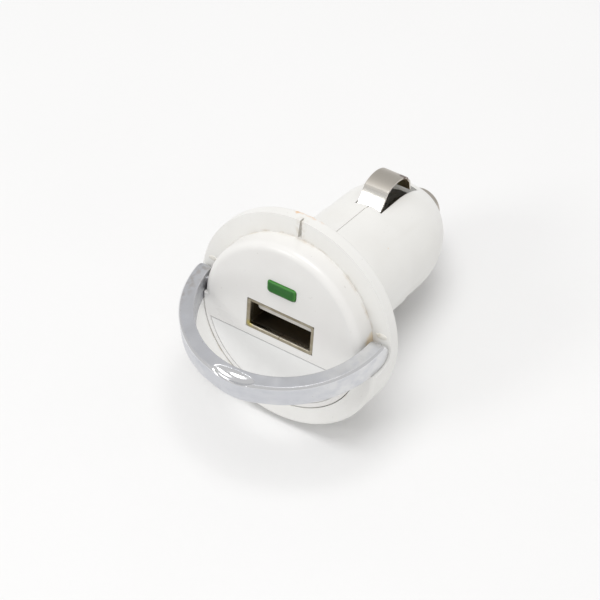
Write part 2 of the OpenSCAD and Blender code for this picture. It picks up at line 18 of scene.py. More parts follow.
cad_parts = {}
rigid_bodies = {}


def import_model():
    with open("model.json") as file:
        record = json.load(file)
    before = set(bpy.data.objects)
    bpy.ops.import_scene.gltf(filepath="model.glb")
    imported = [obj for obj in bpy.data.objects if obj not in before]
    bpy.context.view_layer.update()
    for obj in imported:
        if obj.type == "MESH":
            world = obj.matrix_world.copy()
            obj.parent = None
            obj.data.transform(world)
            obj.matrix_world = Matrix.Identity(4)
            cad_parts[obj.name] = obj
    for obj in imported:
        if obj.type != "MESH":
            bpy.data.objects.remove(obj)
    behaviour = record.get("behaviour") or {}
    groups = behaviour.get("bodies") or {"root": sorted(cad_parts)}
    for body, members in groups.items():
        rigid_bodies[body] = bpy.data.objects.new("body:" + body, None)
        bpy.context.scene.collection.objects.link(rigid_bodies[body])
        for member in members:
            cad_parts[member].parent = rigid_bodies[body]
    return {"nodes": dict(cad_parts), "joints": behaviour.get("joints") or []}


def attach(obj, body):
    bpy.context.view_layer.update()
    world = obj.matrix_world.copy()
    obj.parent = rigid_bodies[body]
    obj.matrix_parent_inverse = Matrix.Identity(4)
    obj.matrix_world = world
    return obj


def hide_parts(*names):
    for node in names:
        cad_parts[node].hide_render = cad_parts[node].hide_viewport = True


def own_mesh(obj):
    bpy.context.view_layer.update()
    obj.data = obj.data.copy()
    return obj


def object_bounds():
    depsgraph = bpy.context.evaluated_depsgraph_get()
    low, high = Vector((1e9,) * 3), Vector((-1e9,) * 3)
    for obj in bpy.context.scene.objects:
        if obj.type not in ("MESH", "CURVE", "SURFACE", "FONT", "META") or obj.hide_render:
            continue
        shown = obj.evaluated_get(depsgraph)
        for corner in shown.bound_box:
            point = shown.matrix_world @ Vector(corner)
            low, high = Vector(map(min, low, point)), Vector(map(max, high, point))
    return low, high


for leftover in list(bpy.data.objects):
    bpy.data.objects.remove(leftover)
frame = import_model()
bpy.context.view_layer.update()
cad_box = [list(corner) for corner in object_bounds()]

# %% [markdown]
# ## The plug's own frame
# The plug rests on its flange and its lower side contact, so its axis is tipped a little. The
# angle could be typed in here. It is read from the joint that the tip slides on instead, because
# that joint runs along the plug's axis and so can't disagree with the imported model. The pull
# ring's hinge gives the place of the ring's pivots and how far the ring is swung open.

# %% From the plug's frame to the table
joints = {joint["name"]: joint for joint in frame["joints"]}
TILT = math.atan2(-joints["tip_press"]["axis"][2], joints["tip_press"]["axis"][1])
FACE_Y = -6.8


def laid(x, y, z):
    """Millimetres in the plug's frame to metres on the table."""
    c, s = math.cos(TILT), math.sin(TILT)
    return Vector((x, y * c + z * s, -y * s + z * c)) / 1000


def lifted(place):
    """Metres on the table to y and z in millimetres in the plug's frame."""
    c, s = math.cos(TILT), math.sin(TILT)
    return (place[1] * c - place[2] * s) * 1000, (place[1] * s + place[2] * c) * 1000


HINGE_Y, HINGE_Z = lifted(joints["ring_hinge"]["pos_m"])
RING_OPEN = math.radians(-joints["ring_hinge"]["range_deg"][0])
print(f"tipped by {math.degrees(TILT):.2f} degrees, ring hinge at y {HINGE_Y:.2f}, z {HINGE_Z:.2f}")

# %% [markdown]
# ## Shader sums
# A procedural material is mostly arithmetic on patterns. It could be wired node by node, but a
# long chain of Math nodes is hard to read back. `Value` wraps a socket and overloads Python's
# operators, so that `1 - mask * 0.5` adds the Math nodes by itself and reads like a formula.


# %% Values that turn sums into nodes
class Value:
    """A number in a shader tree."""

    def __init__(self, tree, socket):
        self.tree, self.socket = tree, socket

    def math(self, operation, *others, flip=False, clamp=False):
        node = self.tree.nodes.new("ShaderNodeMath")
        node.operation, node.use_clamp = operation, clamp
        terms = [*others, self] if flip else [self, *others]
        for i, term in enumerate(terms):
            if isinstance(term, Value):
                self.tree.links.new(term.socket, node.inputs[i])
            else:
                node.inputs[i].default_value = float(term)
        return Value(self.tree, node.outputs[0])

    def __add__(self, other):
        return self.math("ADD", other)

    def __sub__(self, other):
        return self.math("SUBTRACT", other)

    def __rsub__(self, other):
        return self.math("SUBTRACT", other, flip=True)

    def __mul__(self, other):
        return self.math("MULTIPLY", other)

    def __truediv__(self, other):
        return self.math("DIVIDE", other)

    def __rtruediv__(self, other):
        return self.math("DIVIDE", other, flip=True)

    def __pow__(self, other):
        return self.math("POWER", other)

    def __rpow__(self, other):
        return self.math("POWER", other, flip=True)

    def __abs__(self):
        return self.math("ABSOLUTE")

    __radd__, __rmul__ = __add__, __mul__

    def clamp(self):
        return self.math("ADD", 0, clamp=True)

    def above(self, low, high):
        """0 up to low, 1 from high on, and straight in between."""
        return ((self - low) / (high - low)).clamp()

    def below(self, low, high):
        """1 up to low, 0 from high on, and straight in between."""
        return 1 - self.above(low, high)


print("shader sums ready")

# %% [markdown]
# ## A coat of paint
# Each material starts from one base colour and lays stains, wear and grain over it, much as a
# model painter does. `Paint` keeps the colour reached so far and hands out what the patterns
# need: the place in the plug's frame, noise, and ragged round spots. All patterns are tied to
# the object's own coordinates, so they stay put from every side and move with their piece.


# %% The material maker
class Paint:
    """One procedural material."""

    def __init__(self, name, color, roughness, metallic=0.0, **constants):
        self.material = bpy.data.materials.new(name)
        self.material.use_nodes = True
        self.material.diffuse_color = (*color, 1)
        self.tree = self.material.node_tree
        self.shader = self.tree.nodes["Principled BSDF"]
        self.color = (*color, 1)
        constants = {"Roughness": roughness, "Metallic": metallic, **constants}
        for key, value in constants.items():
            self.shader.inputs[key.replace("_", " ")].default_value = value
        where = self.node("ShaderNodeTexCoord").outputs["Object"]
        self.place = self.node("ShaderNodeMapping", {}, {
            "Vector": where, "Rotation": (TILT, 0, 0), "Scale": (1000, 1000, 1000)}).outputs[0]
        parts = self.node("ShaderNodeSeparateXYZ", {}, {0: self.place})
        self.x, self.y, self.z = (Value(self.tree, part) for part in parts.outputs)

    def node(self, kind, settings=None, sockets=None):
        """Adds a node: settings first, then values or links for its sockets."""
        node = self.tree.nodes.new(kind)
        for key, value in (settings or {}).items():
            setattr(node, key, value)
        for key, value in (sockets or {}).items():
            value = value.socket if isinstance(value, Value) else value
            if isinstance(value, bpy.types.NodeSocket):
                self.tree.links.new(value, node.inputs[key])
            else:
                node.inputs[key].default_value = value
        return node

    def turn(self):
        """The angle round the plug's axis in radians: 0 at the top, positive towards +X."""
        return self.x.math("ARCTAN2", self.z)

    def off(self):
        """The distance from the plug's axis."""
        return (self.x * self.x + self.z * self.z) ** 0.5

    def noise(self, scale, detail=3.0, stretch=None):
        """Noise from 0 to 1; scale is features per millimetre."""
        place = self.place
        if stretch:
            squeezed = self.node("ShaderNodeMapping", {}, {"Vector": place, "Scale": stretch})
            place = squeezed.outputs[0]
        cloud = self.node("ShaderNodeTexNoise", {}, {"Vector": place, "Scale": scale,
                                                     "Detail": detail})
        return Value(self.tree, cloud.outputs[0])

    def spot(self, x, y, z, radius, soft=0.6):
        """1 inside a ragged round spot, 0 outside."""
        gap = self.node("ShaderNodeVectorMath", {"operation": "DISTANCE"},
                        {0: self.place, 1: (x, y, z)}).outputs["Value"]
        ragged = Value(self.tree, gap) + (self.noise(1.6 / max(radius, 0.3)) - 0.5) * radius * 0.9
        return ragged.below(radius * (1 - soft), radius)

    def attribute(self, name):
        """A number that the mesh holds for each of its points."""
        stored = self.node("ShaderNodeAttribute", {"attribute_name": name})
        return Value(self.tree, stored.outputs["Fac"])

    def tint(self, color, amount):
        """Lays another colour over the present one, by amount."""
        mix = self.node("ShaderNodeMix", {"data_type": "RGBA"},
                        {0: amount, 6: self.color, 7: (*color, 1)})
        self.color = mix.outputs[2]
        return self

    def rough(self, value):
        self.tree.links.new(value.clamp().socket, self.shader.inputs["Roughness"])
        return self

    def relief(self, height, depth):
        """Bump: height runs from 0 to 1 and stands for depth millimetres."""
        bump = self.node("ShaderNodeBump", {}, {"Height": height, "Distance": depth / 1000,
                                                "Strength": 1.0})
        self.tree.links.new(bump.outputs["Normal"], self.shader.inputs["Normal"])
        return self

    def done(self):
        self.tree.links.new(self.color, self.shader.inputs["Base Color"])
        return self.material


print("material maker ready")

# %% [markdown]
# ## White housing plastic
# The barrel and the flange are two moulded halves in satin white plastic. A plain white would
# look like plaster, so a broad, faint cloud makes some places warmer, as in old plastic. This
# plug has been used: there is dirt in the notch and in the corner round the face, and there are
# orange-brown stains at the flange's top and specks on its rim and on the barrel. The marks
# could be painted on an image, but masks made from distances and angles need no unwrapping.

# %% Housing plastic
STAIN = (0.78, 0.42, 0.14)
DIRT = (0.42, 0.30, 0.14)
HOUSING_SPECKS = (
    (-1.9, -0.6, 18.8, 0.55, 0.7), (-0.9, -0.1, 18.85, 0.45, 0.55),
    (0.9, -0.3, 18.8, 0.35, 0.6), (9.9, 6.9, 3.4, 0.28, 0.6),
    (-2.9, -1.2, -18.7, 0.4, 0.6), (2.2, -1.6, -18.75, 0.55, 0.6),
    (3.2, -1.4, -18.6, 0.35, 0.5), (7.3, 14.0, 7.5, 0.18, 0.35))


def housing_paint(name):
    paint = Paint(name, (0.855, 0.850, 0.825), 0.42, IOR=1.5)
    turn, off = paint.turn(), paint.off()
    cloud = paint.noise(0.12, 2)
    paint.tint((0.80, 0.79, 0.755), cloud.above(0.45, 0.75) * 0.5)
    streak = paint.noise(0.5, 2, stretch=(1, 0.15, 1))
    paint.tint((0.79, 0.78, 0.74), streak.above(0.62, 0.8) * 0.25)
    notch = abs(turn).below(0.0, 0.07) * off.above(15.2, 15.8) * paint.y.below(-1.9, -1.2)
    paint.tint(DIRT, notch * paint.noise(1.2).above(0.4, 0.75) * 0.55)
    rim = abs(paint.y + 0.2).below(0.2, 0.9) * off.above(17.6, 18.4)
    patch = abs(turn - 0.02).below(0.05, 0.19) * paint.noise(1.1).above(0.47, 0.62)
    paint.tint(STAIN, rim * patch * 0.55)
    corner = off.below(15.65, 15.9) * paint.y.below(-2.2, -1.9)
    paint.tint(DIRT, corner * paint.noise(0.45).above(0.5, 0.72) * 0.35)
    for x, y, z, radius, strength in HOUSING_SPECKS:
        paint.tint(STAIN, paint.spot(x, y, z, radius) * strength)
    paint.tint((0.45, 0.42, 0.38), paint.noise(1.7, 1).above(0.77, 0.82) * 0.25)
    paint.rough(0.40 + (cloud - 0.5) * 0.12 + (streak - 0.5) * 0.06)
    return paint.relief(paint.noise(9, 2) * 0.6 + paint.noise(0.5, 2) * 0.4, 0.010).done()


housing_left_mat = housing_paint("housing_plastic_left")
housing_right_mat = housing_paint("housing_plastic_right")
print("housing plastic, one material for each half")

# %% [markdown]
# ## The round face
# The face is a separate moulding, glossier than the housing because it came from a polished
# mould. A lower roughness alone would make it look wet, so a thin coat gives the gloss and the
# plastic below it stays soft. Fine scratches, specks and brown stains by the pivots keep it
# from looking new.


# %% Face plastic
def face_paint():
    paint = Paint("face_plastic", (0.83, 0.822, 0.80), 0.30, IOR=1.5, Coat_Weight=0.12,
                  Coat_Roughness=0.12)
    haze = paint.noise(0.16, 2)
    paint.tint((0.785, 0.77, 0.75), haze.above(0.42, 0.75) * 0.45)
    brushed = paint.noise(0.9, 2, stretch=(0.12, 1, 1.4))
    paint.tint((0.77, 0.76, 0.745), brushed.above(0.6, 0.78) * 0.07)
    paint.tint((0.42, 0.38, 0.34), paint.noise(1.3, 1).above(0.76, 0.80) * 0.35)
    edge = paint.y.above(-3.4, -2.6) * paint.off().above(15.2, 15.5)
    paint.tint(DIRT, edge * paint.noise(0.5).above(0.42, 0.7) * 0.45)
    paint.tint((0.70, 0.50, 0.22), paint.spot(15.3, -3.3, 2.3, 1.7) * 0.6)
    paint.tint((0.42, 0.27, 0.12), paint.spot(-15.4, -4.3, 0.6, 1.3) * 0.55)
    paint.rough(0.30 + (haze - 0.5) * 0.14 + (brushed - 0.5) * 0.04)
    scratch = paint.noise(1.6, 2, stretch=(0.2, 1, 1))
    return paint.relief(scratch.above(0.55, 0.8) * 0.3 + paint.noise(7, 2) * 0.7, 0.003).done()


face_mat = face_paint()
print("face plastic")

# %% [markdown]
# ## The label film
# A half-moon of thin white film lies on the face below the socket. What tells it from the plastic
# is a smoother, wavier gloss and a painted shadow: a hairline of grey along its cut edges. That
# line could be modelled, but it is a fraction of a millimetre wide, so a band of colour is enough.

# %% Film
FILM_R, FILM_TOP = 14.5, -4.44


def film_paint():
    paint = Paint("label_film", (0.86, 0.86, 0.845), 0.22, IOR=1.46, Coat_Weight=0.4,
                  Coat_Roughness=0.08)
    wave = paint.noise(0.2, 2)
    paint.tint((0.81, 0.81, 0.80), wave.above(0.45, 0.7) * 0.4)
    # Painted shadow: grey along the straight top edge, and fainter grey along the round edge.
    paint.tint((0.42, 0.42, 0.42), paint.z.above(FILM_TOP - 0.18, FILM_TOP) * 0.75)
    paint.tint((0.60, 0.595, 0.58), paint.off().above(FILM_R - 0.20, FILM_R - 0.03) * 0.5)
    paint.rough(0.20 + (wave - 0.5) * 0.1)
    return paint.relief(wave * 0.7 + paint.noise(3, 2) * 0.3, 0.02).done()


film_mat = film_paint()
print("label film")

# %% [markdown]
# ## The ring's plating
# The ring is plated metal. Its flat sides are satin, and its bevels and thumb scoop are
# polished. Two materials could do that, but their border would follow the mesh's faces. Here
# the mesh stores a number called polish at each point, and one material blends between the two
# finishes with it. Its right end is tinted lighter in patches, and by the left pivot it is rusty.


# %% Ring plating
def ring_paint():
    paint = Paint("ring_plating", (0.62, 0.63, 0.66), 0.33, 1.0)
    turnings = paint.noise(0.55, 3, stretch=(1, 1, 1.6))
    paint.tint((0.50, 0.515, 0.56), turnings.above(0.45, 0.8) * 0.4)
    worn = paint.noise(0.28, 2)
    paint.tint((0.70, 0.705, 0.72), worn.above(0.52, 0.74) * 0.5)
    # The right end is tinted lighter, in patches.
    lightened = paint.x.above(11.5, 16.0) * paint.noise(0.5).above(0.3, 0.6)
    paint.tint((0.80, 0.80, 0.79), lightened * 0.6)
    paint.tint((0.30, 0.28, 0.27), paint.noise(2.4, 1).above(0.76, 0.8) * 0.5)
    rust = paint.x.below(-16.3, -14.9) * paint.z.above(0.2, 1.4)
    paint.tint((0.34, 0.27, 0.20), rust * paint.noise(0.9).above(0.45, 0.6) * 0.3)
    polish = paint.attribute("polish")
    paint.tint((0.82, 0.825, 0.84), polish * 0.9)
    satin = 0.31 + (turnings - 0.5) * 0.24 + worn * 0.08
    paint.rough(satin * (1 - polish) + polish * 0.14)
    grain = turnings * 0.5 + paint.noise(6, 2) * 0.3
    return paint.relief(grain * (1 - polish), 0.005).done()


ring_mat = ring_paint()
print("ring plating: satin sides, polished bevels and scoop")

# %% [markdown]
# ## Spring strip
# The side contacts are bent from nickelled spring strip. Rolling leaves a fine grain along the
# strip, so the noise is squeezed across it. The crest carries a painted dark reflection, and it is
# rougher, because it is what rubs on the car's socket. A burnt mark sits near the upper strip's
# far end. The underside has a brassy look. It is a second material for the faces that point
# inwards, because a mask made from the place can't tell two sides of a thin sheet apart.


# %% Strip metals
def strip_paint():
    paint = Paint("strip_nickel", (0.70, 0.68, 0.64), 0.24, 1.0)
    grain = paint.noise(1.6, 3, stretch=(6, 0.7, 0.7))
    paint.tint((0.52, 0.49, 0.44), grain.above(0.4, 0.8) * 0.4)
    # Painted dark reflection on the crest, which is also rougher from rubbing.
    crest_painted_dark_and_worn = abs(paint.z).above(12.4, 13.2)
    paint.tint((0.46, 0.42, 0.36), crest_painted_dark_and_worn * 0.6)
    burn = paint.spot(1.6, 27.3, 12.4, 1.5, 0.4) + paint.spot(2.1, 26.5, 13.0, 1.1, 0.4)
    paint.tint((0.10, 0.05, 0.04), burn.clamp() * paint.noise(1.6).above(0.3, 0.5) * 0.9)
    paint.rough(0.17 + crest_painted_dark_and_worn * 0.17 + grain * 0.10)
    return paint.relief(grain * 0.7 + paint.noise(5, 2) * 0.3, 0.005).done()


def underside_paint():
    paint = Paint("strip_underside", (0.60, 0.49, 0.30), 0.34, 1.0)
    old = paint.noise(0.7, 3)
    paint.tint((0.32, 0.24, 0.13), old.above(0.4, 0.7) * 0.6)
    paint.rough(0.30 + old * 0.2)
    return paint.relief(old, 0.01).done()


strip_mat, underside_mat = strip_paint(), underside_paint()
print("strip metals: nickel outside, brassy inside")

# %% [markdown]
# ## Socket shell and tip metal
# The socket's shell is folded from sheet that has gone dull and brown. The lower part of its
# rolled lip carries a painted highlight, a near-white band that is also less rough, and further
# in the sheet is painted dark and rougher: painted shade inside the socket.
# The tip is turned on a lathe. The tool's rings could be modelled, but they are finer than any
# mesh here, so a sine of the distance from the axis puts them in the colour, gloss and bump.


# %% Shell and tip metal
def shell_paint():
    paint = Paint("socket_shell_metal", (0.36, 0.32, 0.24), 0.3, 1.0)
    old = paint.noise(0.6, 3)
    paint.tint((0.24, 0.20, 0.13), old.above(0.42, 0.72) * 0.6)
    # Painted highlight: a near-white band on the front of the lower lip, also less rough.
    lightened = paint.y.above(FACE_Y + 0.03, FACE_Y + 0.14) * paint.z.below(-2.3, -1.95)
    paint.tint((0.88, 0.84, 0.76), lightened * 0.85)
    draw = paint.noise(1.4, 2, stretch=(0.3, 3, 1))
    paint.tint((0.74, 0.69, 0.58), draw.above(0.55, 0.8) * 0.4)
    paint.tint((0.50, 0.42, 0.10), paint.spot(-5.9, -6.6, -2.1, 0.9, 0.7) * 0.7)
    # Painted shade: darker and rougher further into the socket.
    depth = paint.y.above(FACE_Y + 0.9, FACE_Y + 1.6)
    paint.tint((0.12, 0.09, 0.05), depth * 0.9)
    paint.rough(0.36 - lightened * 0.2 + old * 0.12 + depth * 0.25)
    return paint.relief(draw * 0.6 + paint.noise(6, 2) * 0.4, 0.006).done()


def tip_paint():
    paint = Paint("tip_nickel", (0.55, 0.51, 0.46), 0.32, 1.0)
    rings = (paint.off() * 9).math("SINE") * 0.5 + 0.5
    old = paint.noise(0.5, 3)
    paint.tint((0.36, 0.32, 0.27), old.above(0.4, 0.75) * 0.6)
    paint.tint((0.66, 0.64, 0.60), rings * 0.18)
    paint.rough(0.28 + rings * 0.08 + old * 0.12)
    return paint.relief(rings * 0.6 + paint.noise(4, 2) * 0.4, 0.006).done()


shell_mat, tip_mat = shell_paint(), tip_paint()
print("socket shell and tip metal")

# %% [markdown]
# ## Light window and glue
# The window is green plastic that lets a little light through. Real scattering would be slow,
# so its sides and its upper edge are painted a lighter green instead, which is painted light.
# The glue by the pivots is clear and still glossy: low roughness under a strong coat.


# %% Window and glue
def window_paint():
    paint = Paint("lens_green", (0.011, 0.125, 0.008), 0.40, IOR=1.45, Coat_Weight=0.1,
                  Coat_Roughness=0.15)
    grain = paint.noise(3.0, 3)
    paint.tint((0.006, 0.085, 0.008), grain.above(0.4, 0.8) * 0.4)
    # Painted light: the sides and the upper edge are a lighter green.
    painted_edge_light = abs(paint.x).above(2.35, 2.75).math("MAXIMUM", paint.z.above(8.15, 8.5))
    paint.tint((0.06, 0.27, 0.035), painted_edge_light * 0.7)
    paint.rough(0.30 + grain * 0.12)
    return paint.relief(grain, 0.012).done()


def glue_paint():
    paint = Paint("clear_glue", (0.84, 0.82, 0.76), 0.10, IOR=1.48, Coat_Weight=0.6,
                  Coat_Roughness=0.04)
    cloud = paint.noise(1.2, 2)
    paint.tint((0.66, 0.58, 0.42), cloud.above(0.55, 0.8) * 0.5)
    paint.rough(0.08 + cloud * 0.08)
    return paint.relief(cloud, 0.05).done()


window_mat, glue_mat = window_paint(), glue_paint()
print("light window and glue")

# %% [markdown]
# ## The small parts
# The circuit board, its chips and the coil are hidden while the plug is whole, but each has a
# material of its own, because the parts can be taken apart. Most need only two tones of one
# colour and a fine grain, so they share a function. The board also gets copper tracks under its
# green lacquer, and the coil gets turns of wire. Both are sines of the place, which costs less
# than modelling them.


# %% Materials for the small parts
def simple_paint(name, color, dark, roughness, metallic=0.0, scale=0.8, **constants):
    """Two tones of one colour, uneven gloss and a fine grain."""
    paint = Paint(name, color, roughness, metallic, **constants)
    mottle = paint.noise(scale, 3)
    paint.tint(dark, mottle.above(0.4, 0.75) * 0.6)
    paint.rough(roughness + (mottle - 0.5) * 0.2)
    return paint.relief(mottle * 0.6 + paint.noise(6, 2) * 0.4, 0.01).done()


def board_paint():
    paint = Paint("board_green", (0.03, 0.16, 0.055), 0.42, IOR=1.5, Coat_Weight=0.2)
    mottle = paint.noise(0.7, 3)
    paint.tint((0.015, 0.09, 0.03), mottle.above(0.4, 0.75) * 0.6)
    stripes = abs((paint.x * 1.6).math("SINE")).above(0.86, 0.95)
    track = stripes * paint.noise(0.3, 1).above(0.45, 0.55)
    paint.tint((0.05, 0.24, 0.08), track * 0.8)
    paint.rough(0.38 + mottle * 0.12)
    return paint.relief(track * 0.8 + paint.noise(5, 2) * 0.2, 0.02).done()


def coil_paint():
    paint = Paint("coil_copper", (0.62, 0.30, 0.12), 0.3, 1.0)
    wire = abs((paint.z * 14).math("SINE"))
    gap = 1 - wire
    paint.tint((0.28, 0.11, 0.04), gap * 0.7)
    paint.rough(0.25 + gap * 0.3)
    return paint.relief(wire, 0.05).done()


tongue_mat = simple_paint("tongue_plastic", (0.74, 0.72, 0.67), (0.60, 0.57, 0.52), 0.38,
                          scale=0.9, IOR=1.5)
spring_mat = simple_paint("spring_steel", (0.5, 0.5, 0.5), (0.3, 0.29, 0.28), 0.28, 1.0)
pin_mat = simple_paint("pin_steel", (0.55, 0.55, 0.56), (0.36, 0.35, 0.34), 0.3, 1.0)
can_mat = simple_paint("can_sleeve", (0.05, 0.08, 0.22), (0.03, 0.04, 0.12), 0.3,
                       IOR=1.5, Coat_Weight=0.3)
print("materials for the small parts")

# %% [markdown]
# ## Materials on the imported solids
# These solids already have the right shape, and the housing and the face have their rounded
# edges. They could be modelled again, but that would only repeat what is there, so they get
# their material and nothing else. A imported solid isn't moved or reshaped, because the
# simulation and the picture have to show the same part.

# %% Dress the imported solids
NODE_PAINTS = {
    "housing_left": housing_left_mat, "housing_right": housing_right_mat,
    "front_cap": face_mat, "label_film": film_mat, "left_pin": pin_mat, "right_pin": pin_mat,
    "spring_plate": simple_paint("plate_nickel", (0.6, 0.57, 0.5), (0.4, 0.36, 0.3), 0.3, 1.0),
    "circuit_board": board_paint(), "inductor_coil": coil_paint(),
    "usb_contacts": simple_paint("contact_gold", (0.80, 0.58, 0.26), (0.5, 0.34, 0.14), 0.2, 1.0),
    "converter_chip": simple_paint("chip_resin", (0.035, 0.035, 0.038), (0.02, 0.02, 0.02), 0.5),
    "inductor_core": simple_paint("ferrite", (0.07, 0.07, 0.075), (0.035, 0.035, 0.04), 0.6),
    "output_capacitor": can_mat, "input_capacitor": can_mat,
    "diode": simple_paint("diode_resin", (0.045, 0.045, 0.045), (0.02, 0.02, 0.02), 0.55),
    "resistors": simple_paint("resistor_glaze", (0.03, 0.03, 0.035), (0.10, 0.09, 0.08), 0.35),
    "status_led": simple_paint("led_resin", (0.10, 0.45, 0.16), (0.05, 0.28, 0.08), 0.15,
                               IOR=1.5, Coat_Weight=0.4),
    "ground_wires": simple_paint("wire_tin", (0.62, 0.61, 0.58), (0.42, 0.4, 0.37), 0.3, 1.0),
}
for node_name, material in NODE_PAINTS.items():
    mesh = frame["nodes"][node_name].data
    mesh.materials.clear()
    mesh.materials.append(material)
print(f"materials on {len(NODE_PAINTS)} packed solids")

# %% [markdown]
# ## How a finer piece is made
# Each finer piece is a `bmesh`, drawn in millimetres in the plug's frame. Sheet, rings and
# turned parts look different, but all of them can be a skin over rows of points, so one short
# function makes them all. The finished mesh is laid on the table. It rides on its body and
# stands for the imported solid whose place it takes.


# %% A skin over rows of points
def skin(bm, rows, closed=True, cap=True):
    """Joins rows of points into a surface. Returns its faces, one list for each pair of rows."""
    loops = [[bm.verts.new(point) for point in row] for row in rows]
    grid = []
    for near, far in zip(loops, loops[1:]):
        count = len(near)
        sides = count if closed else count - 1
        grid.append([bm.faces.new((near[i], near[(i + 1) % count], far[(i + 1) % count], far[i]))
                     for i in range(sides)])
    if cap:
        bm.faces.new(list(reversed(loops[0])))
        bm.faces.new(loops[-1])
    return grid


print("skin ready")


# %% From a mesh to a piece
def make_piece(name, bm, materials, body, stands_for=None, smooth=35, bevel=0.0):
    """Turns a bmesh in the plug's frame into a piece; edges over smooth degrees stay sharp."""
    bmesh.ops.recalc_face_normals(bm, faces=bm.faces)
    for vert in bm.verts:
        vert.co = laid(*vert.co)
    mesh = bpy.data.meshes.new(name)
    bm.to_mesh(mesh)
    bm.free()
    obj = bpy.data.objects.new(name, mesh)
    bpy.context.scene.collection.objects.link(obj)
    for material in materials:
        mesh.materials.append(material)
    if bevel:
        edge = obj.modifiers.new("rounded edges", "BEVEL")
        edge.width, edge.segments = bevel / 1000, 3
        edge.limit_method, edge.angle_limit = "ANGLE", math.radians(28)
        edge.harden_normals = False
    mesh.polygons.foreach_set("use_smooth", [True] * len(mesh.polygons))
    mesh.set_sharp_from_angle(angle=math.radians(smooth))
    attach(obj, body)
    if stands_for:
        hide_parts(stands_for)
    print(f"{name}: {len(mesh.vertices)} points, {len(mesh.polygons)} faces")
    return obj


print("piece maker ready")

# %% [markdown]
# ## The pull ring: its section
# The ring is a half hoop of nearly square section that swings on two pivots. It has a bevel
# along its outer edge, small rounds on the others, and a thumb scoop in its upper face. The
# scoop could be cut with a Boolean, but that leaves long thin faces that catch the light. Here
# the section itself is pressed down where it passes through an oval, so the mesh stays even.

# %% The ring's section
RING_IN, RING_OUT = 15.9, 18.5
RING_MID, RING_HALF = (RING_IN + RING_OUT) / 2, (RING_OUT - RING_IN) / 2
RING_DEEP = 2.05
RING_ROUND, RING_BEVEL, BEVEL_CROWN = 0.16, 0.36, 0.12


def quarter(u, v, r, start, steps=4):
    """Points of a quarter turn about (u, v), clockwise from the start angle in degrees."""
    turns = [math.radians(start - 90 * i / steps) for i in range(steps + 1)]
    return [(u + r * math.cos(a), v + r * math.sin(a), 0) for a in turns]


def ring_outline(deep, r, cut):
    """Points round a plain section as (outwards, upwards, polish). Only the bevel is polished."""
    half = RING_HALF
    outline = [(-half + r + (2 * half - r - cut) * i / 30, deep, 0) for i in range(31)]
    for t in (0.02, 0.35, 0.65, 0.98):
        crown = BEVEL_CROWN * t * (1 - t)
        outline.append((half - cut * (1 - t) + crown, deep - cut * t + crown, 1))
    for t in (0.03, 0.25, 0.5, 0.75):
        outline.append((half, deep - cut - (2 * deep - cut - r) * t, 0))
    outline += quarter(half - r, -deep + r, r, 0)
    outline.append((0.0, -deep, 0))
    outline += quarter(-half + r, -deep + r, r, -90)
    outline.append((-half, 0.0, 0))
    return outline + quarter(-half + r, deep - r, r, 180)[:-1]


print(f"ring section {RING_OUT - RING_IN:.1f} mm wide and {2 * RING_DEEP:.1f} mm deep")

# %% [markdown]
# ## The pull ring: its scoop and rim
# The thumb scoop is an oval on the upper face, a little beside the ring's middle towards +X. A
# sphere sunk into the face would give it a sharp edge. This one follows a curve that starts
# softly at the oval's edge, as a polished hollow does. The rim swells a little there, which
# gives the thumb more to push on.

# %% The scoop and the swell
SCOOP_AT, SCOOP_LONG = math.radians(3.2), math.radians(12.6)
SCOOP_R, SCOOP_WIDE, SCOOP_DEEP = 17.75, 1.3, 1.1
SWELL_AT, SWELL_LONG, SWELL = math.radians(5.0), math.radians(17), 0.34


def bell(t):
    """A smooth bell: 1 at 0, and 0 from 1 on."""
    t = min(1.0, abs(t))
    return (1 - t * t) ** 2


def in_scoop(angle, radius):
    """How far inside the thumb scoop a point is: 1 in its middle, 0 at its edge."""
    along = (angle - SCOOP_AT) / SCOOP_LONG
    return max(0.0, 1 - along * along - ((radius - SCOOP_R) / SCOOP_WIDE) ** 2)


def ring_section(angle):
    """Points round the section at this angle, each with its polish from 0 to 1."""
    below = max(0.0, HINGE_Z - RING_MID * math.cos(angle))
    deep = math.sqrt(max(0.0, RING_DEEP ** 2 - below ** 2))
    swell = SWELL * bell((angle - SWELL_AT) / SWELL_LONG)
    r, cut = min(RING_ROUND, deep * 0.3), min(RING_BEVEL, deep * 0.5)
    points = []
    for u, v, polish in ring_outline(deep, r, cut):
        radius = RING_MID + u + swell * min(1.0, (u + RING_HALF) / (2 * RING_HALF)) ** 3
        if v > deep - cut - 0.02:
            inside = in_scoop(angle, radius)
            v -= SCOOP_DEEP * (inside * inside / (inside + 0.12)) ** 0.8
            polish = max(polish, min(1.0, inside * 9))
        points.append(((radius * math.sin(angle), HINGE_Y + v, radius * math.cos(angle)), polish))
    return points


print(f"scoop {math.degrees(2 * SCOOP_LONG):.0f} degrees long")

# %% [markdown]
# ## The pull ring: round the hoop
# Sections are set round the hoop by angle, measured from its middle towards +X. Past the level
# of the pivots each section gets shallower, so that the ring's ends are round about their
# hinge. A round hoop could be spun from one section, but this section changes on its way. The
# angles lie closer together in the scoop and at the ends, because the surface bends most there.
# The hoop is drawn folded round the face, where it is easy to measure, and then swung open.

# %% Build the ring
END_SHORT = 0.0006


def opened(x, y, z):
    """A point of the folded ring, swung open about its hinge."""
    c, s = math.cos(RING_OPEN), math.sin(RING_OPEN)
    dy, dz = y - HINGE_Y, z - HINGE_Z
    return x, HINGE_Y + dy * c - dz * s, HINGE_Z + dy * s + dz * c


